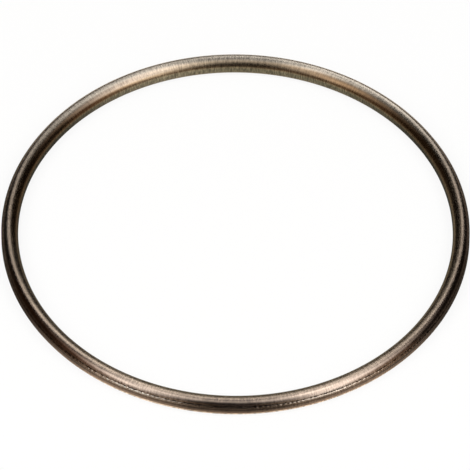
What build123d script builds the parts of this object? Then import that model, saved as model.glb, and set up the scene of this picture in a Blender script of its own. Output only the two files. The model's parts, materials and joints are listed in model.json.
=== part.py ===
from build123d import *
import os
from math import atan2, cos, degrees, radians, sin

# Spiral wound gasket, of the slim kind that seals a flanged pipe joint.
#
# Formed steel strip is wound flat on itself and closed into a ring, so the roll of turns is one solid.
# Its section is an upright oval: a short straight wall inside and out, a rounded shoulder above and
# below each wall, and a narrow flat crest on each face that meets the flange. The crests lie a little
# outward of the middle of the section. The last turn wraps the outer wall, and each of its two edges
# leaves a fine V-shaped line round the outer shoulder. The first turn is tacked down at one small weld
# pit in the bore.
#
# The ring lies flat: +Z is its axis, and the origin is at the centre of the lower face.

# Driving dimensions, in millimetres; angles in degrees
outer_diameter = 112.0    # over the outer wall
section_width = 4.05      # from bore to outer wall
section_height = 4.5      # free thickness, crest to crest
wall_land = 0.45          # straight height of the bore and of the outer wall
crest_land = 0.3          # flat width of each sealing crest
crest_offset = 0.28       # crest's distance outward from the middle of the section
lap_angle = 36.0          # where the last turn's edge lies on its shoulder, up from the wall
lap_gap = 0.2             # width of the line at that edge, twice its depth
pit_azimuth = 84.0        # where the tack weld is, round from +X
pit_height = 0.9          # length of the pit, along the axis of the ring
pit_width = 0.3           # width of the pit, round the bore
pit_depth = 0.15          # depth of the pit below the wall of the bore

# Derived sizes
half_width = section_width / 2
half_height = section_height / 2
half_land = wall_land / 2
bore_radius = outer_diameter / 2 - section_width
middle_radius = bore_radius + half_width
shoulder_rise = half_height - half_land
crest_outer = crest_offset + crest_land / 2
crest_inner = crest_offset - crest_land / 2
outer_reach = half_width - crest_outer
inner_reach = half_width + crest_inner

# Where the line lies on the outer shoulder, and which way the shoulder faces there
lap_across = crest_outer + outer_reach * cos(radians(lap_angle))
lap_up = half_land + shoulder_rise * sin(radians(lap_angle))
lap_lean = degrees(atan2(outer_reach * sin(radians(lap_angle)), shoulder_rise * cos(radians(lap_angle))))

# The section is drawn about its own middle: x runs outward and y runs up.
section_plane = Plane(origin=(middle_radius, 0, half_height), x_dir=(1, 0, 0), z_dir=(0, -1, 0))

# The pit is drawn flat against the wall of the bore: its x runs along the ring's axis.
pit_direction = Vector(cos(radians(pit_azimuth)), sin(radians(pit_azimuth)), 0)
pit_centre = pit_direction * bore_radius + Vector(0, 0, half_height)
pit_plane = Plane(origin=pit_centre, x_dir=(0, 0, 1), z_dir=pit_direction)

with BuildPart() as wound_ring:
    with BuildSketch(section_plane):
        with BuildLine():
            Line((half_width, 0), (half_width, half_land))
            EllipticalCenterArc((crest_outer, half_land), outer_reach, shoulder_rise, 0, arc_size=90)
            Line((crest_outer, half_height), (crest_inner, half_height))
            EllipticalCenterArc((crest_inner, half_land), inner_reach, shoulder_rise, 90, arc_size=90)
            Line((-half_width, half_land), (-half_width, 0))
            mirror(about=Plane.XZ)
        make_face()
        for side in (1, -1):
            with Locations((lap_across, side * lap_up)):
                RegularPolygon(lap_gap / 2, 4, rotation=side * lap_lean, mode=Mode.SUBTRACT)
    revolve(axis=Axis.Z)
    with BuildSketch(pit_plane):
        SlotOverall(pit_height, pit_width)
    extrude(amount=pit_depth, both=True, mode=Mode.SUBTRACT)

wound_ring.part.label = "wound_ring"

os.makedirs("parts", exist_ok=True)
export_step(wound_ring.part, "parts/wound_ring.step")
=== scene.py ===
# %% [markdown]
# # A spiral wound gasket, dressed for a render
#
# This gasket seals a flanged pipe joint. A long formed strip of stainless steel is wound flat on
# itself until it makes a ring, and the first and last turns are tacked down. Heat has left the steel
# brown and olive, and forming has left fine marks across the strip.
#
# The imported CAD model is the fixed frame: its sizes and its place decide everything here. The frame
# comes first, so that every later number can be worked out from it.

# %% Load the frame
import bmesh
import bpy
import json
import math
import numpy as np
import random
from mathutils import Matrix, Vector


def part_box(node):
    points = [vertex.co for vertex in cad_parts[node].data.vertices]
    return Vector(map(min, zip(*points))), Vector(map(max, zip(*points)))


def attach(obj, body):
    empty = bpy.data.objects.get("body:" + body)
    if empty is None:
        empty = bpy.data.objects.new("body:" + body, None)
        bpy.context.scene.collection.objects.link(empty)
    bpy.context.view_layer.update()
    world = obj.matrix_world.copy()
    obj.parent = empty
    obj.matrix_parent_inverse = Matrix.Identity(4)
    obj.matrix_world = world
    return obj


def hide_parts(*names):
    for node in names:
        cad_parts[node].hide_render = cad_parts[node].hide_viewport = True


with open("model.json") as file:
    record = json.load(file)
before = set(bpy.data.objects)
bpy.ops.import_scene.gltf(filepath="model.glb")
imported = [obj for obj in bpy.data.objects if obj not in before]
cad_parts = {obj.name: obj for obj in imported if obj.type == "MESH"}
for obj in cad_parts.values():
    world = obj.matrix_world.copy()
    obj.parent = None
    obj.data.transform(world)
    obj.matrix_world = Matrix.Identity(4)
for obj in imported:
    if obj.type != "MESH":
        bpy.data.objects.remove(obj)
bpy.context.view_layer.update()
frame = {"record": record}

MM = 0.001
low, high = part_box("wound_ring")
bore_mount = next(mount for mount in frame["record"]["mounts"] if mount["name"] == "bore")
outer_radius = high[0]
bore_radius = bore_mount["dims"]["r_mm"] * MM
middle_radius = (outer_radius + bore_radius) / 2
half_width = (outer_radius - bore_radius) / 2
half_height = (high[2] - low[2]) / 2
half_wall = bore_mount["dims"]["length_mm"] * MM / 2
section_centre = Vector((middle_radius, 0, half_height))
print(f"ring {2 * outer_radius / MM:.1f} mm over all, section {2 * half_width / MM:.2f} x "
      f"{2 * half_height / MM:.2f} mm")

# %% [markdown]
# ## Helpers
#
# Colours are given as sRGB hex values, but a shader counts light, so one function turns them to linear.
# A second function adds a node, sets its properties and fills or links its sockets, which keeps each
# material short enough to read as a recipe. The third starts a material. The last makes a mask: a value
# that is 1 where a tint or a glow belongs, 0 elsewhere, and soft in between.

# %% Helpers for colours, nodes and masks
def colour(hex_value):
    """A linear colour from an sRGB hex value such as "#8A7B6C"."""
    channels = [int(hex_value[i:i + 2], 16) / 255 for i in (1, 3, 5)]
    linear = [c / 12.92 if c <= 0.04045 else ((c + 0.055) / 1.055) ** 2.4 for c in channels]
    return (*linear, 1)


def add_node(tree, kind, inputs=None, **settings):
    """A node of a tree, with its properties set and its sockets filled or linked."""
    node = tree.nodes.new(kind)
    for name, value in settings.items():
        setattr(node, name, value)
    for socket, value in (inputs or {}).items():
        if isinstance(value, bpy.types.NodeSocket):
            tree.links.new(value, node.inputs[socket])
        else:
            node.inputs[socket].default_value = value
    return node


def new_material(name):
    """An empty node material and its output node."""
    material = bpy.data.materials.new(name)
    material.use_nodes = True
    material.node_tree.nodes.clear()
    return material, add_node(material.node_tree, "ShaderNodeOutputMaterial")


def soft_mask(tree, value, rise=None, fall=None):
    """A mask that rises over one span of a value and falls over another; either may be left out."""
    sides = []
    for span, start in ((rise, 0), (fall, 1)):
        if span:
            side = add_node(tree, "ShaderNodeMapRange", {
                "Value": value, "From Min": span[0], "From Max": span[1],
                "To Min": start, "To Max": 1 - start}, interpolation_type="SMOOTHSTEP")
            sides.append(side.outputs[0])
    if len(sides) == 1:
        return sides[0]
    return add_node(tree, "ShaderNodeMath", {0: sides[0], 1: sides[1]},
                    operation="MULTIPLY").outputs[0]


print("mid grey #808080 is", round(colour("#808080")[0], 3), "in linear light")

# %% [markdown]
# ## The section of the wound ring
#
# Cut across, the ring is an upright oval: short straight walls, a rounded shoulder above and below
# each wall, and a narrow flat crest that meets the flange. A curve with a bevel could give that, but a
# circle shaped in edit mode keeps every point where the section needs it. The circle's radius is the
# height of a shoulder. It gets more points near the edges of the last turn, where the finest detail
# lies.

# %% Start the section as a circle
section_points = 60
shoulder_rise = half_height - half_wall
lap_angle = math.radians(29.6)
lap_reach = math.radians(19)
lap_cuts = 2

for item in bpy.context.selected_objects:
    item.select_set(False)
bpy.ops.mesh.primitive_circle_add(
    vertices=section_points, radius=shoulder_rise, location=section_centre,
    rotation=(math.pi / 2, math.pi / section_points, 0))
ring = bpy.context.object
ring.name = "wound_ring_turns"
bpy.ops.object.transform_apply(location=True, rotation=True, scale=True)


def section_angle(point):
    """How far a point of the section lies round from the outer wall, upwards."""
    return math.atan2(point.z - section_centre.z, point.x - section_centre.x)


def near_lap(vert):
    """Whether a point of the outer shoulders lies near an edge of the last turn."""
    return abs(abs(section_angle(vert.co)) - lap_angle) < lap_reach


def choose(test):
    """Select the points that pass a test, with the edges and faces between them."""
    shape = bmesh.from_edit_mesh(ring.data)
    for vert in shape.verts:
        vert.select = test(vert)
    shape.select_mode = {"VERT"}
    shape.select_flush_mode()
    bmesh.update_edit_mesh(ring.data)


bpy.ops.object.mode_set(mode="EDIT")
choose(near_lap)
bpy.ops.mesh.subdivide(number_cuts=lap_cuts)
shape = bmesh.from_edit_mesh(ring.data)
print("section:", len(shape.verts), "points, closer together near the edges of the last turn")

# %% [markdown]
# ## The edges of the last turn
#
# The last turn wraps the outer wall like a hoop, and its two edges lie on the outer shoulders. Each
# edge starts in a dark gap, slopes out as a narrow face and turns down over a knuckle into the wall.
# All of it is drawn as a change of radius along the section. The face matters more than its size
# says, because it turns up towards the light and shines as a thin bright line.

# %% Shape the gap and the lip
gap_side = 0.06 * MM
gap_depth = 0.09 * MM
face_width = 0.48 * MM
lip_rise = 0.105 * MM
knuckle_width = 0.22 * MM


def lap_height(along):
    """How far the surface stands proud at a distance above the bottom of the gap."""
    if 0 <= along < gap_side:
        return -gap_depth * (1 - along / gap_side)
    if -face_width < along < 0:
        return -gap_depth - (gap_depth + lip_rise) * along / face_width
    past = (-along - face_width) / knuckle_width
    if 0 <= past < 1:
        return lip_rise * (1 + math.cos(math.pi * past)) / 2
    return 0


lap_points = 0
for vert in shape.verts:
    spoke = (vert.co - section_centre).normalized()
    along = (abs(section_angle(vert.co)) - lap_angle) * shoulder_rise
    height = lap_height(along)
    vert.co = section_centre + spoke * (shoulder_rise + height)
    lap_points += height != 0
bmesh.update_edit_mesh(ring.data)
print("lap edges:", lap_points, "points moved in or out")

# %% [markdown]
# ## From circle to oval
#
# The outer shoulder is narrower than the inner one, since the crest lies outward of the middle. So
# each half is squeezed by its own amount, and then moved out to leave the flat crest between them.
# The same is done up and down for the straight walls. All of these are plain resize and move
# operations, so no point has to be placed by hand.

# %% Squeeze and part the halves
crest_flat = 0.19 * MM
crest_offset = 0.41 * MM
crest_outer = crest_offset + crest_flat / 2
crest_inner = crest_offset - crest_flat / 2
outer_half = {vert.index for vert in shape.verts if vert.co.x > middle_radius}
halves = (  # whether it is the outer half, width of its shoulder, how far out it moves
    (True, half_width - crest_outer, crest_outer),
    (False, half_width + crest_inner, crest_inner),
)
for is_outer, shoulder_width, shift in halves:
    choose(lambda vert: (vert.index in outer_half) == is_outer)
    bpy.ops.transform.resize(value=(shoulder_width / shoulder_rise, 1, 1),
                             center_override=section_centre)
    bpy.ops.transform.translate(value=(shift, 0, 0))
for sign in (1, -1):
    choose(lambda vert: (vert.co.z - half_height) * sign > 0)
    bpy.ops.transform.translate(value=(0, 0, sign * half_wall))
shape = bmesh.from_edit_mesh(ring.data)
across = [vert.co.x for vert in shape.verts]
upward = [vert.co.z for vert in shape.verts]
print(f"section now {(max(across) - min(across)) / MM:.2f} x "
      f"{(max(upward) - min(upward)) / MM:.2f} mm")

# %% [markdown]
# ## Spin the section into the ring
#
# The real strip runs round and round, so spinning its section about the ring's axis is the honest way
# to make it. One spin of a thousand fine steps is slow, because Blender works through the whole mesh at
# each step. So a first spin makes one arc in fine steps, and a second spin copies that arc round. The
# arcs' ends land on each other and are merged, and the normals are worked out again to point outwards.

# %% Spin
arc_count = 12
arc_steps = 96
merge_distance = 0.002 * MM

bpy.ops.mesh.select_all(action="SELECT")
bpy.ops.mesh.spin(steps=arc_steps, angle=2 * math.pi / arc_count, center=(0, 0, 0), axis=(0, 0, 1))
bpy.ops.mesh.select_all(action="SELECT")
bpy.ops.mesh.spin(steps=arc_count, angle=2 * math.pi, center=(0, 0, 0), axis=(0, 0, 1), dupli=True)
bpy.ops.mesh.select_all(action="SELECT")
bpy.ops.mesh.remove_doubles(threshold=merge_distance)
bpy.ops.mesh.normals_make_consistent(inside=False)
bpy.ops.object.mode_set(mode="OBJECT")
print("ring:", len(ring.data.polygons), "faces in", arc_count * arc_steps, "steps")

# %% [markdown]
# ## Uneven lap edge
#
# Rolled strip is never perfectly straight at its edge. The lip of the last turn swells and sinks by a
# few hundredths of a millimetre about once a millimetre, which makes its bright line uneven.
# Sculpting could do that by hand. A sum of a few waves with seeded phases does it evenly all round.

# %% Ripple the lip
ripple_pitch = 1.1 * MM
ripple_spread = 0.25
ripple_rise = 0.024 * MM
ripple_waves = 7

random.seed(11)
places = np.empty(3 * len(ring.data.vertices))
ring.data.vertices.foreach_get("co", places)
places = places.reshape(-1, 3)
around = np.arctan2(places[:, 1], places[:, 0])
reach = np.hypot(places[:, 0], places[:, 1])
waves_round = 2 * math.pi * outer_radius / ripple_pitch
ripple = np.zeros(len(places))
for wave in range(ripple_waves):
    count = round(waves_round * random.uniform(1 - ripple_spread, 1 + ripple_spread))
    phase = random.uniform(0, 2 * math.pi)
    ripple += np.sin(count * around + phase) / math.sqrt(ripple_waves / 2)
face_middle = lap_angle - face_width / 2 / shoulder_rise
section = np.arctan2(np.abs(places[:, 2] - half_height) - half_wall,
                     (reach - middle_radius - crest_outer) * shoulder_rise / (half_width - crest_outer))
on_lip = np.clip(1 - np.abs(section - face_middle) * 2 * shoulder_rise / face_width, 0, 1)
reach = np.minimum(reach + ripple_rise * ripple * on_lip, outer_radius)
places[:, 0] = reach * np.cos(around)
places[:, 1] = reach * np.sin(around)
ring.data.vertices.foreach_set("co", places.ravel())
ring.data.update()
print("lip rippled at", int((on_lip > 0).sum()), "points")

# %% [markdown]
# ## Tack pit and pinholes
#
# The first turn is tacked to the next one by a small weld, which leaves an upright pit in the bore.
# A few pinholes lie scattered round the bore and the inner shoulder. They are cut by egg-shaped
# cutters, each laid square to the surface, joined into one object and taken away by a Boolean modifier.

# %% Cut the pits
pits = (  # name, degrees round from +X, height over the table, half sizes along the ring and up, tilt
    ("tack_pit", 84.0, 2.25, 0.15, 0.45, 0.0),
    ("pinhole_1", 35.5, 2.96, 0.13, 0.15, 14.0),
    ("pinhole_2", 140.0, 3.18, 0.14, 0.17, 22.0),
    ("pinhole_3", 152.2, 2.10, 0.14, 0.20, 0.0),
    ("pinhole_4", 151.1, 2.00, 0.14, 0.16, 0.0),
    ("pinhole_5", 203.5, 4.20, 0.16, 0.22, 61.0),
)
pit_depth = 0.15 * MM


def inner_face(height):
    """Where the inner face lies at a height: its distance from the ring's axis."""
    rise = max(abs(height - half_height) - half_wall, 0) / shoulder_rise
    return middle_radius + crest_inner - (half_width + crest_inner) * math.sqrt(1 - rise ** 2)


bpy.ops.object.select_all(action="DESELECT")
cutters = []
for name, degrees, height, half_along, half_up, tilt in pits:
    bearing = math.radians(degrees)
    distance_out = inner_face(height * MM)
    bpy.ops.mesh.primitive_ico_sphere_add(
        subdivisions=3, radius=1, rotation=(0, math.radians(tilt), bearing),
        location=(distance_out * math.cos(bearing), distance_out * math.sin(bearing), height * MM),
        scale=(pit_depth, half_along * MM, half_up * MM))
    cutters.append(bpy.context.object)
for cutter in cutters:
    cutter.select_set(True)
bpy.ops.object.join()
cutter = bpy.context.object
bpy.ops.object.transform_apply(location=True, rotation=True, scale=True)

bpy.ops.object.select_all(action="DESELECT")
bpy.context.view_layer.objects.active = ring
cut = ring.modifiers.new("pits", "BOOLEAN")
cut.operation = "DIFFERENCE"
cut.solver = "EXACT"
cut.object = cutter
bpy.ops.object.modifier_apply(modifier=cut.name)
bpy.data.objects.remove(cutter)
print("ring:", len(ring.data.polygons), "faces with", len(pits), "pits")

# %% [markdown]
# ## A UV map that follows the strip
#
# The tints and the soot lie in bands round the ring, so the material needs to know where on the
# section it is. Unwrapping could give that, but the shape is simple enough to work out: the first
# coordinate runs round the ring and the second round the section, from the middle of the lower side
# outwards. Each is a share of the full turn. A face that crosses the end of a turn gets 1 added to
# its low values, so that the pattern doesn't run backwards across it.

# %% UV map and smooth shading
smooth_angle = math.radians(50)

places = np.empty(3 * len(ring.data.vertices))
ring.data.vertices.foreach_get("co", places)
x, y, z = places.reshape(-1, 3).T
share_round = np.arctan2(y, x) / (2 * math.pi) % 1
share_over = np.arctan2(np.hypot(x, y) - middle_radius, half_height - z) / (2 * math.pi) % 1

corners = np.empty(len(ring.data.loops), int)
ring.data.loops.foreach_get("vertex_index", corners)
starts = np.empty(len(ring.data.polygons), int)
ring.data.polygons.foreach_get("loop_start", starts)
strip_map = np.stack([share_round[corners], share_over[corners]], axis=1)
spread = np.maximum.reduceat(strip_map, starts) - np.minimum.reduceat(strip_map, starts)
face_sizes = np.diff(np.append(starts, len(corners)))
crosses_seam = np.repeat(spread > 0.5, face_sizes, axis=0)
strip_map[crosses_seam & (strip_map < 0.5)] += 1
uv_layer = ring.data.uv_layers.new(name="strip")
uv_layer.data.foreach_set("uv", strip_map.ravel())

bpy.ops.object.select_all(action="DESELECT")
ring.select_set(True)
bpy.context.view_layer.objects.active = ring
bpy.ops.object.shade_smooth_by_angle(angle=smooth_angle)
print("UV map laid over", len(corners), "corners")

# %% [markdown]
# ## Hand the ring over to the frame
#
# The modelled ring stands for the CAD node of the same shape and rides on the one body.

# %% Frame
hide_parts("wound_ring")
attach(ring, "root")
print("the ring replaces its CAD node")

# %% [markdown]
# ## Heat-tinted stainless strip
#
# The metal is cold-rolled stainless strip, browned by heat. It is bare metal, so it is metallic with
# the default IOR, and all its colour is in the reflection. An image texture could hold its marks, but
# noise needs no file. It is stretched across the strip for the marks that forming pressed into it, and
# much larger for patches of tint. Real marks are about 0.1 mm apart: these are drawn 0.3 mm apart and
# 1.4 mm long, as coarse as they need to show.

# %% Material: coordinates and noise
mark_pitch = 0.3 * MM
mark_length = 1.4 * MM
patch_pitch = 5.0 * MM
patch_length = patch_pitch / 3
section_girth = math.pi * (half_width + half_height)
noise_low = 0.3
noise_high = 0.7

steel, steel_output = new_material("stainless_strip_rolled_and_heat_tinted")
tree = steel.node_tree
place = add_node(tree, "ShaderNodeTexCoord").outputs["Object"]
strip_uv = add_node(tree, "ShaderNodeSeparateXYZ", {
    0: add_node(tree, "ShaderNodeUVMap", uv_map="strip").outputs["UV"]}).outputs
flat = add_node(tree, "ShaderNodeVectorMath", {0: place, 1: (1, 1, 0)}, operation="MULTIPLY")
rim = add_node(tree, "ShaderNodeVectorMath", {0: flat.outputs[0]}, operation="NORMALIZE")


def strip_noise(pitch, length, detail):
    """Noise that repeats at a pitch round the ring and runs on for a length across it."""
    round_ring = add_node(tree, "ShaderNodeVectorMath", {
        0: rim.outputs[0], "Scale": middle_radius / pitch}, operation="SCALE")
    over_strip = add_node(tree, "ShaderNodeMath", {
        0: strip_uv["Y"], 1: section_girth / length}, operation="MULTIPLY")
    across = add_node(tree, "ShaderNodeCombineXYZ", {2: over_strip.outputs[0]})
    spot = add_node(tree, "ShaderNodeVectorMath", {0: round_ring.outputs[0], 1: across.outputs[0]})
    return add_node(tree, "ShaderNodeTexNoise", {
        "Vector": spot.outputs[0], "Scale": 1, "Detail": detail}).outputs["Fac"]


marks = strip_noise(mark_pitch, mark_length, 2)
patches = strip_noise(patch_pitch, patch_length, 3)
print(f"marks {mark_pitch / MM:.1f} mm apart, patches of tint {patch_pitch / MM:.0f} mm long")

# %% [markdown]
# ## Bands of tint across the section
#
# Heat tints steel by how hot it got, so the colour changes across the section and hardly along it.
# The section coordinate is folded at the outer wall, to give both sides the same bands: 0 is the outer
# wall, 0.25 the crest and 0.5 the bore. A colour ramp then holds the bands, which is easier to read and
# to change than a chain of mixes. The pale band over the face of the lap is a painted highlight, not
# tint: it makes the lip shine as a thin bright line.

# %% Material: bands of tint
from_wall = add_node(tree, "ShaderNodeMath", {0: strip_uv["Y"], 1: 0.25}, operation="SUBTRACT")
from_wall = add_node(tree, "ShaderNodeMath", {0: from_wall.outputs[0], 1: 0.5},
                     operation="PINGPONG").outputs[0]
bands = (  # share of the way round the section from the outer wall, shade
    (0.00, "#A08E81"),  # outer wall, brown above and below its middle
    (0.02, "#A08E81"),
    (0.04, "#987E68"),
    (0.058, "#DACABA"),  # face of the lap, painted highlight so the lip shines as a thin bright line
    (0.088, "#DACABA"),
    (0.115, "#DCCCBE"),
    (0.14, "#B2A092"),  # outer shoulder, violet grey
    (0.17, "#B2A092"),
    (0.25, "#B2A08E"),  # crest
    (0.31, "#B9A68E"),  # inner shoulder, straw
    (0.41, "#B09A7E"),
    (0.46, "#89806C"),  # bore, olive
)
tint = add_node(tree, "ShaderNodeValToRGB", {0: from_wall})
ramp = tint.color_ramp.elements
ramp.remove(ramp[1])
ramp[0].position = bands[0][0]
ramp[0].color = colour(bands[0][1])
for share, shade in bands[1:]:
    ramp.new(share).color = colour(shade)
tint_and_painted_light = tint.outputs[0]
print("tint in", len(bands), "steps")

# %% [markdown]
# ## Zones of tint and painted light round the ring
#
# Parts of the ring are browner, greyer or brighter than the bands say. Some of that is uneven heat
# tint, and some is painted light: the browner and greyer zones paint shade that dims and greys the
# highlights there, and the pale zone on the lap paints a highlight on the lip. Painting on the mesh
# could show that. Here each zone is a mask of two things, a part of the section and a direction from
# the ring's axis, and mixes its own shade over the bands.

# %% Material: zones of tint
parts = {  # spans of from_wall over which the mask of each part of the section rises and falls
    "inner_shoulder": ((0.26, 0.31), (0.41, 0.46)),
    "outer_shoulder": ((0.05, 0.07), (0.17, 0.23)),
    "upper_side": ((0.06, 0.10), (0.25, 0.33)),
    "bore_side": ((0.41, 0.45), (0.60, 0.70)),
    "inner_side": ((0.20, 0.26), (0.41, 0.46)),
    "beside_crest": ((0.26, 0.30), (0.34, 0.38)),
    "above_bore": ((0.35, 0.39), (0.41, 0.46)),
    "lap_face": ((0.050, 0.060), (0.084, 0.092)),
}
part_masks = {name: soft_mask(tree, from_wall, *spans) for name, spans in parts.items()}
zones = (  # part, degrees round from +X, degrees either side to fade from and to, strength, shade
    ("inner_shoulder", 46, 13, 46, 0.85, "#6E543A"),  # browned: heat tint, and painted shade over the highlight there
    ("inner_shoulder", 156, 18, 46, 0.80, "#7E5E40"),
    ("outer_shoulder", 213, 10, 27, 0.75, "#76523A"),
    ("outer_shoulder", 333, 8, 30, 0.45, "#76523A"),
    ("upper_side", 90, 40, 85, 0.85, "#B3AA9D"),  # grey: less heat tint, and painted shade that greys the highlight there
    ("bore_side", 112, 4, 26, 0.60, "#A89C86"),
    ("beside_crest", 120, 4, 24, 0.70, "#A59688"),
    ("above_bore", 122, 6, 24, 0.50, "#6C563E"),
    ("inner_side", 208, 8, 30, 0.80, "#8D7F70"),
    ("lap_face", 245, 6, 20, 1.00, "#FFF4E8"),  # painted highlight on the face of the lap
)
# each zone mixes a shade over the bands: partly heat tint, partly painted shade and painted highlight
for part, degrees, start, end, strength, shade in zones:
    bearing = math.radians(degrees)
    near = add_node(tree, "ShaderNodeVectorMath", {
        0: rim.outputs[0], 1: (math.cos(bearing), math.sin(bearing), 0)}, operation="DOT_PRODUCT")
    away = add_node(tree, "ShaderNodeMath", {0: near.outputs["Value"]}, operation="ARCCOSINE")
    zone_weight = add_node(tree, "ShaderNodeMath", {
        0: soft_mask(tree, away.outputs[0], fall=(math.radians(start), math.radians(end))),
        1: part_masks[part]}, operation="MULTIPLY")
    zone_weight = add_node(tree, "ShaderNodeMath", {0: zone_weight.outputs[0], 1: strength}, operation="MULTIPLY")
    tint_and_painted_light = add_node(tree, "ShaderNodeMix", {
        0: zone_weight.outputs[0], 6: tint_and_painted_light, 7: colour(shade)}, data_type="RGBA").outputs[2]
print(len(zones), "zones over", len(parts), "parts of the section")

# %% [markdown]
# ## Marks and painted shade in the gap
#
# Each mark is a little darker or brighter than the steel round it, and more so in the bore, where the
# strip was bent hardest. The gap beside the last turn is darkened with painted shade, broken into
# dashes. It is laid by distance from the gap, with a noise that cuts it across.

# %% Material: marks and painted shade in the gap
patch_shades = (0.88, 1.08)
mark_shades = (0.74, 1.2)
bore_contrast = 0.25  # how much further the marks go both ways in the bore
gap_shade_offset = 0.06 * MM  # the middle of the painted shade, above the bottom of the gap
gap_shade_reach = (0.08 * MM, 0.20 * MM)  # where it starts and ends thinning out
gap_shade_strength = 0.9
dash_pitch = 0.6 * MM
dash_length = 20 * MM  # long enough to cut straight across the gap
dash_cut = (0.46, 0.54)

patch_shade = add_node(tree, "ShaderNodeMapRange", {
    "Value": patches, "From Min": noise_low, "From Max": noise_high,
    "To Min": patch_shades[0], "To Max": patch_shades[1]})
mark_dark = add_node(tree, "ShaderNodeMath", {
    0: part_masks["bore_side"], 1: -bore_contrast, 2: mark_shades[0]}, operation="MULTIPLY_ADD")
mark_light = add_node(tree, "ShaderNodeMath", {
    0: part_masks["bore_side"], 1: bore_contrast, 2: mark_shades[1]}, operation="MULTIPLY_ADD")
mark_shade = add_node(tree, "ShaderNodeMapRange", {
    "Value": marks, "From Min": noise_low, "From Max": noise_high,
    "To Min": mark_dark.outputs[0], "To Max": mark_light.outputs[0]})
shade = add_node(tree, "ShaderNodeMath", {
    0: patch_shade.outputs[0], 1: mark_shade.outputs[0]}, operation="MULTIPLY")

gap_reach = shoulder_rise - gap_depth
gap_across = crest_outer + gap_reach * math.cos(lap_angle) * (half_width - crest_outer) / shoulder_rise
gap_up = half_wall + gap_reach * math.sin(lap_angle)
gap_share = math.atan2(gap_up, gap_across) / (2 * math.pi)
share_per_metre = 1 / (2 * math.pi * math.hypot(gap_up, gap_across))
off_gap = add_node(tree, "ShaderNodeMath", {
    0: from_wall, 1: gap_share + gap_shade_offset * share_per_metre}, operation="SUBTRACT")
off_gap = add_node(tree, "ShaderNodeMath", {0: off_gap.outputs[0]}, operation="ABSOLUTE")
in_gap = soft_mask(tree, off_gap.outputs[0], fall=[end * share_per_metre for end in gap_shade_reach])
dashes = add_node(tree, "ShaderNodeMapRange", {
    "Value": strip_noise(dash_pitch, dash_length, 1), "From Min": dash_cut[0],
    "From Max": dash_cut[1], "To Min": 0.0, "To Max": gap_shade_strength})
# painted shade darkens the gap beside the last turn, broken into dashes
gap_shade = add_node(tree, "ShaderNodeMath", {0: in_gap, 1: dashes.outputs[0]}, operation="MULTIPLY")
unshaded = add_node(tree, "ShaderNodeMath", {0: 1, 1: gap_shade.outputs[0]}, operation="SUBTRACT")
shade = add_node(tree, "ShaderNodeMath", {0: shade.outputs[0], 1: unshaded.outputs[0]},
                 operation="MULTIPLY")
marked = add_node(tree, "ShaderNodeVectorMath", {
    0: tint_and_painted_light, "Scale": shade.outputs[0]}, operation="SCALE")
print(f"soot {(gap_share + gap_shade_offset * share_per_metre) * 360:.0f} degrees up from the outer wall")

# %% [markdown]
# ## The metal itself
#
# Rolling leaves lines along the strip that are too fine to see. They make the metal rough across the
# strip and smooth along it, so each highlight spreads over the section and stays sharp round the
# ring. That is anisotropy: the tangent runs round the ring and is turned a quarter across it. The
# marks also press very slightly into the surface and dull it a little.

# %% Material: rolled metal
mark_bump = 0.012 * MM
mark_bump_strength = 0.15
gloss_range = (0.18, 0.24)
rolled_stretch = 0.96
quarter_turn = 0.25

bump = add_node(tree, "ShaderNodeBump", {
    "Height": marks, "Strength": mark_bump_strength, "Distance": mark_bump})
gloss = add_node(tree, "ShaderNodeMapRange", {
    "Value": marks, "From Min": noise_low, "From Max": noise_high,
    "To Min": gloss_range[0], "To Max": gloss_range[1]})
along_strip = add_node(tree, "ShaderNodeTangent", direction_type="RADIAL", axis="Z")
metal = add_node(tree, "ShaderNodeBsdfPrincipled", {
    "Base Color": marked.outputs[0], "Metallic": 1, "Roughness": gloss.outputs[0],
    "Anisotropic": rolled_stretch, "Anisotropic Rotation": quarter_turn,
    "Tangent": along_strip.outputs[0], "Normal": bump.outputs[0]})
tree.links.new(metal.outputs[0], steel_output.inputs["Surface"])
ring.data.materials.clear()
ring.data.materials.append(steel)
print(steel.name, "has", len(tree.nodes), "nodes")

# %% [markdown]
# ## A pale table
#
# The floor is a wide pale sheet. Seen by the camera and by shiny metal it is almost fully white,
# and an eighth of its light comes from the lamps, so that it keeps the faint shadow of the ring.

# %% Floor
floor_size = 8.0
lamp_share = 0.12


def shown(tree):
    """1 for rays that show what lies behind: the camera's, and those of shiny and clear things."""
    rays = add_node(tree, "ShaderNodeLightPath").outputs
    seen = rays["Is Camera Ray"]
    for kind in ("Is Glossy Ray", "Is Transmission Ray"):
        seen = add_node(tree, "ShaderNodeMath", {0: seen, 1: rays[kind]},
                        operation="MAXIMUM").outputs[0]
    return seen


bpy.ops.object.select_all(action="DESELECT")
bpy.ops.mesh.primitive_plane_add(size=floor_size, location=(0, 0, low[2]))
floor = bpy.context.object
floor.name = "pale_table"

paper, output = new_material("table_white_paper")
tree = paper.node_tree
share = add_node(tree, "ShaderNodeMath", {0: shown(tree), 1: 1 - lamp_share}, operation="MULTIPLY")
matt = add_node(tree, "ShaderNodeBsdfDiffuse", {"Color": colour("#F4F2EE")})
glow = add_node(tree, "ShaderNodeEmission", {"Color": (1, 1, 1, 1), "Strength": 1})
mix = add_node(tree, "ShaderNodeMixShader", {0: share.outputs[0], 1: matt.outputs[0],
                                             2: glow.outputs[0]})
tree.links.new(mix.outputs[0], output.inputs["Surface"])
floor.data.materials.append(paper)
print("table", floor_size, "m wide")

# %% [markdown]
# ## Studio light
#
# Two large area lamps hang above the ring, left and right of the camera's line and a little towards
# the camera. They light the table. The metal doesn't see them: it gets its highlights from cards,
# further on, which can be shaped more freely.

# %% Lamps
lamp_height = 1.0
lamp_place = (0.85, -0.75)
lamp_size = (0.8, 1.4)
lamp_turn = math.radians(32)
lamp_radiance = 4.2

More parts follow.
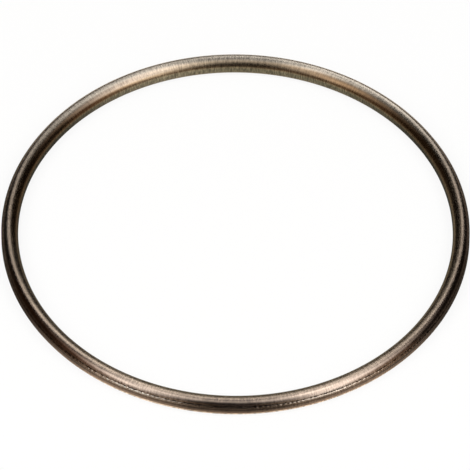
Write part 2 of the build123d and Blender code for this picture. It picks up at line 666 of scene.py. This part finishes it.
for side in (-1, 1):
    light = bpy.data.lights.new("lamp_" + ("left" if side < 0 else "right"), "AREA")
    light.shape = "RECTANGLE"
    light.size, light.size_y = lamp_size
    light.energy = lamp_radiance * math.pi * lamp_size[0] * lamp_size[1]
    lamp = bpy.data.objects.new(light.name, light)
    lamp.location = (side * lamp_place[0], lamp_place[1], lamp_height)
    lamp.rotation_euler = (0, 0, side * lamp_turn)
    lamp.visible_camera = False
    lamp.visible_glossy = False
    bpy.context.collection.objects.link(lamp)
print(f"two lamps of {light.energy:.1f} W")

# %% [markdown]
# ## The world
#
# A plain white world stands for the rest of the studio. It fills the shadows evenly at a low level,
# and shows as full white wherever the camera or the metal looks past everything else. A backdrop
# sheet could do the same, but it would have to be bent round behind the table.

# %% World
world_fill = 0.4

world = bpy.data.worlds.new("studio")
world.use_nodes = True
bpy.context.scene.world = world
tree = world.node_tree
tree.nodes.clear()
strength = add_node(tree, "ShaderNodeMapRange", {
    "Value": shown(tree), "To Min": world_fill, "To Max": 1.0})
background = add_node(tree, "ShaderNodeBackground", {
    "Color": (1, 1, 1, 1), "Strength": strength.outputs[0]})
add_node(tree, "ShaderNodeOutputWorld", {0: background.outputs[0]})
print("world fills at", world_fill)

# %% [markdown]
# ## What the metal sees
#
# Bare metal shows whatever stands round it. A studio gives it dark edges with black cloth and
# bright ones with softboxes, so those are built as cards that only reflections can see. Each glowing
# card is brightest in the middle and fades to nothing at its edge, as a softbox's face does.

# %% Cards for the reflections
def hide_from_all_but_metal(card):
    """Leave a card visible only to the reflections."""
    for ray in ("camera", "diffuse", "transmission", "shadow", "volume_scatter"):
        setattr(card, "visible_" + ray, False)


def add_glow_card(name, place, half_size, turn, brightness, fade):
    """A level glowing card overhead, with edges that fade over twice a width."""
    bpy.ops.object.select_all(action="DESELECT")
    bpy.ops.mesh.primitive_plane_add(size=2, location=place, rotation=(0, 0, turn))
    card = bpy.context.object
    card.name = name
    card.scale = (half_size[0] + fade, half_size[1] + fade, 1)
    bpy.ops.object.transform_apply(location=False, rotation=False, scale=True)
    hide_from_all_but_metal(card)
    glow, output = new_material(name + "_cloth")
    tree = glow.node_tree
    spot = add_node(tree, "ShaderNodeSeparateXYZ", {
        0: add_node(tree, "ShaderNodeTexCoord").outputs["Object"]}).outputs
    strength = brightness
    for axis, half in zip("XY", half_size):
        away = add_node(tree, "ShaderNodeMath", {0: spot[axis]}, operation="ABSOLUTE").outputs[0]
        strength = add_node(tree, "ShaderNodeMath", {
            0: strength, 1: soft_mask(tree, away, fall=(half - fade, half + fade))},
            operation="MULTIPLY").outputs[0]
    light = add_node(tree, "ShaderNodeEmission", {"Strength": strength})
    clear = add_node(tree, "ShaderNodeBsdfTransparent")
    both = add_node(tree, "ShaderNodeAddShader", {0: light.outputs[0], 1: clear.outputs[0]})
    tree.links.new(both.outputs[0], output.inputs["Surface"])
    card.data.materials.append(glow)


glow_cards = (  # name, place, half size, turn in degrees, brightness, fade
    ("softbox_right", (1.05, -0.96, 1.00), (0.31, 1.20), 32, 2.9, 0.47),
    ("softbox_left", (-0.83, -0.64, 1.01), (0.21, 0.72), -33, 3.25, 0.47),
    ("strip_right", (0.21, 0.25, 1.02), (0.09, 0.46), 11, 1.85, 0.06),
    ("strip_left", (-0.17, 0.26, 1.03), (0.06, 0.38), -10, 1.7, 0.06),
    ("strip_back", (0.09, 1.10, 1.04), (0.09, 0.25), -27, 2.9, 0.06),
    ("table_far_end", (0.00, 1.60, low[2] + 0.04 * MM), (0.25, 1.50), 0, 0.47, 0.05),
)
for name, place, half_size, degrees, brightness, fade in glow_cards:
    add_glow_card(name, place, half_size, math.radians(degrees), brightness, fade)
print(len(glow_cards), "glowing cards")

# %% [markdown]
# ## A tent of dark cloth
#
# Behind the cards hangs a tent of brown-black cloth. It could be sewn from many cards, but one dome
# painted by direction is simpler. It is open in a window behind the ring, and pale at its top.
# Directions are measured from straight behind the ring, so the camera stands at 180 degrees.

# %% Tent
tent_radius = 6.0
window_light = 0.8
top_light = 0.5

bpy.ops.object.select_all(action="DESELECT")
bpy.ops.mesh.primitive_uv_sphere_add(segments=48, ring_count=24, radius=tent_radius)
tent = bpy.context.object
tent.name = "dark_tent"
bpy.ops.object.mode_set(mode="EDIT")
bpy.ops.mesh.select_all(action="SELECT")
bpy.ops.mesh.bisect(plane_co=low, plane_no=(0, 0, 1), clear_inner=True)
bpy.ops.object.mode_set(mode="OBJECT")
hide_from_all_but_metal(tent)

cloth, cloth_output = new_material("tent_cloth_brown_black")
tree = cloth.node_tree
direction = add_node(tree, "ShaderNodeVectorMath", {
    0: add_node(tree, "ShaderNodeTexCoord").outputs["Object"]}, operation="NORMALIZE").outputs[0]
facing = add_node(tree, "ShaderNodeSeparateXYZ", {0: direction}).outputs
azimuth = add_node(tree, "ShaderNodeMath", {0: facing["X"], 1: facing["Y"]},
                   operation="ARCTAN2").outputs[0]
aside = add_node(tree, "ShaderNodeMath", {0: azimuth}, operation="ABSOLUTE").outputs[0]
height = add_node(tree, "ShaderNodeMath", {0: facing["Z"]}, operation="ARCSINE").outputs[0]


def between(value, low_end, high_end, fade):
    """A soft-edged mask for a direction between two ends, all in degrees."""
    low_end, high_end, fade = (math.radians(angle) for angle in (low_end, high_end, fade))
    return soft_mask(tree, value, rise=(low_end - fade, low_end + fade),
                     fall=(high_end - fade, high_end + fade))


window = add_node(tree, "ShaderNodeMath", {
    0: between(aside, -90, 16, 10), 1: between(height, 29, 41, 8)}, operation="MULTIPLY")
window = add_node(tree, "ShaderNodeMath", {0: window.outputs[0], 1: window_light},
                  operation="MULTIPLY")
shine = add_node(tree, "ShaderNodeMath", {
    0: between(height, 70, 120, 9), 1: top_light, 2: window.outputs[0]}, operation="MULTIPLY_ADD")
pale = add_node(tree, "ShaderNodeEmission", {"Color": (1, 1, 1, 1), "Strength": shine.outputs[0]})
print("window and top of the tent laid out")

# %% [markdown]
# ## Light through the cloth
#
# Dark cloth still lets a little light through, and tints it brown. It does so low round the front,
# except right in front of the ring, and at both sides. Without it, the dark parts of the metal would
# be plain black and look painted on.

# %% Glow through the cloth
cloth_shade = "#FFCE9E"
cloth_base = 0.005
front_light = 0.15
opposite_share = 0.9  # how much of the front's light is held back right in front
side_glows = (  # azimuth from and to, its fade, height from and to, its fade, brightness
    (100, 130, 9, 0, 40, 10, 0.20),
    (-130, -100, 9, 7, 40, 10, 0.16),
    (-100, -62, 12, 5, 56, 8, 0.035),
)
front = add_node(tree, "ShaderNodeMath", {
    0: between(aside, 120, 240, 25), 1: between(height, -20, 28, 14)}, operation="MULTIPLY")
opposite = add_node(tree, "ShaderNodeMath", {
    0: between(aside, 164, 196, 14), 1: -opposite_share, 2: 1.0}, operation="MULTIPLY_ADD")
front = add_node(tree, "ShaderNodeMath", {
    0: front.outputs[0], 1: opposite.outputs[0]}, operation="MULTIPLY")
brown = add_node(tree, "ShaderNodeMath", {0: front.outputs[0], 1: front_light, 2: cloth_base},
                 operation="MULTIPLY_ADD")
for left, right, side_fade, bottom, top, height_fade, brightness in side_glows:
    glow = add_node(tree, "ShaderNodeMath", {
        0: between(azimuth, left, right, side_fade), 1: between(height, bottom, top, height_fade)},
        operation="MULTIPLY")
    brown = add_node(tree, "ShaderNodeMath", {
        0: glow.outputs[0], 1: brightness, 2: brown.outputs[0]}, operation="MULTIPLY_ADD")
dark = add_node(tree, "ShaderNodeEmission", {"Color": colour(cloth_shade),
                                             "Strength": brown.outputs[0]})
both = add_node(tree, "ShaderNodeAddShader", {0: pale.outputs[0], 1: dark.outputs[0]})
tree.links.new(both.outputs[0], cloth_output.inputs["Surface"])
tent.data.materials.append(cloth)
print("tent lit by", len(side_glows), "side glows")

# %% [markdown]
# ## A cover on the table
#
# Low parts of the ring mirror the table close by, where plain paper would look far too bright. So
# the table gets a dark felt cover that only the reflections see. It lies a hair above the table.

# %% Table cover
cover_height = 0.02 * MM

bpy.ops.object.select_all(action="DESELECT")
bpy.ops.mesh.primitive_circle_add(vertices=64, radius=tent_radius, fill_type="NGON",
                                  location=(0, 0, low[2] + cover_height))
cover = bpy.context.object
cover.name = "dark_table_cover"
hide_from_all_but_metal(cover)
print("cover", 2 * tent_radius, "m wide")

# %% [markdown]
# ## Light on the cover
#
# Outside the ring the felt is lighter close to the ring's foot, towards the back and at both sides
# of the front, and darkest right in front. Inside the ring it is lighter all over, most of all
# towards the back, and darker by the bore. Each of these is a mask with an amount of light, and a
# loop adds them up. `towards` says which way a spot lies from the centre: -1 is the front, 1 the back.

# %% Masks of light on the felt
outer_base = 0.09
inner_base = 0.27

felt, felt_output = new_material("table_cover_brown_felt")
tree = felt.node_tree
place = add_node(tree, "ShaderNodeTexCoord").outputs["Object"]
reach = add_node(tree, "ShaderNodeVectorMath", {0: place}, operation="LENGTH").outputs["Value"]
outward = add_node(tree, "ShaderNodeVectorMath", {0: place}, operation="NORMALIZE").outputs[0]
towards = add_node(tree, "ShaderNodeSeparateXYZ", {0: outward}).outputs["Y"]
by_foot = add_node(tree, "ShaderNodeMath", {
    0: soft_mask(tree, reach, fall=(outer_radius + 0.5 * MM, outer_radius + 1.9 * MM)),
    1: soft_mask(tree, towards, fall=(-0.95, -0.4))}, operation="MULTIPLY").outputs[0]
outer_lights = (  # mask outside the ring, how much light it adds
    (soft_mask(tree, towards, fall=(-1.0, -0.86)), -0.065),
    (soft_mask(tree, towards, rise=(-0.99, -0.94), fall=(-0.82, -0.72)), 0.17),
    (soft_mask(tree, towards, rise=(0.4, 0.95)), 0.8),
    (by_foot, 1.3),
)
inner_lights = (  # mask inside the ring, how much light it adds
    (soft_mask(tree, reach, rise=(bore_radius - 6 * MM, bore_radius - 2 * MM)), -0.15),
    (soft_mask(tree, towards, rise=(0.58, 1.0)), 0.45),
)
sides = []
for base, lights in ((outer_base, outer_lights), (inner_base, inner_lights)):
    total = base
    for mask, amount in lights:
        total = add_node(tree, "ShaderNodeMath", {0: mask, 1: amount, 2: total},
                         operation="MULTIPLY_ADD").outputs[0]
    sides.append(total)
print("cover lit by", len(outer_lights) + len(inner_lights), "masks")

# %% [markdown]
# ## The felt
#
# The cover only has to be seen in the metal, so it is a plain glow: the light outside and inside the
# ring, mixed at the middle of the ring's width, where the ring itself hides the join.

# %% Material: felt
inside = soft_mask(tree, reach, fall=(middle_radius - 0.1 * MM, middle_radius + 0.1 * MM))
shine = add_node(tree, "ShaderNodeMix", {0: inside, 2: sides[0], 3: sides[1]},
                 data_type="FLOAT").outputs[0]
hue = add_node(tree, "ShaderNodeMix", {
    0: inside, 6: colour("#FFF0DE"), 7: colour("#FFFCEE")}, data_type="RGBA").outputs[2]
glow = add_node(tree, "ShaderNodeEmission", {"Color": hue, "Strength": shine})
tree.links.new(glow.outputs[0], felt_output.inputs["Surface"])
cover.data.materials.append(felt)
print(felt.name, "has", len(tree.nodes), "nodes")

# %% [markdown]
# ## Camera
#
# A long lens from far off looks down on the ring at about 49 degrees, so the circle turns into an
# ellipse three quarters as high as it is wide, with hardly any perspective. The lens is worked out
# from how much of the table the view should take in at that distance.

# %% Camera
elevation = math.radians(49.04)
distance = 2.8
view_width = 112.36 * MM
sensor = 36.0
roll = math.radians(0.38)
aim = Vector((-0.11 * MM, -0.92 * MM, half_height))

camera_data = bpy.data.cameras.new("camera")
camera_data.sensor_width = sensor
camera_data.lens = sensor * distance / view_width
camera_data.clip_end = 20
camera = bpy.data.objects.new("camera", camera_data)
bpy.context.collection.objects.link(camera)
backward = Vector((0, -math.cos(elevation), math.sin(elevation)))
camera.location = aim + backward * distance
camera.rotation_euler = (backward.to_track_quat("Z", "Y")).to_euler()
camera.rotation_euler.rotate_axis("Z", roll)
bpy.context.scene.camera = camera
bpy.context.scene.view_settings.view_transform = "Standard"
print(f"lens of {camera_data.lens:.0f} mm at {distance} m")
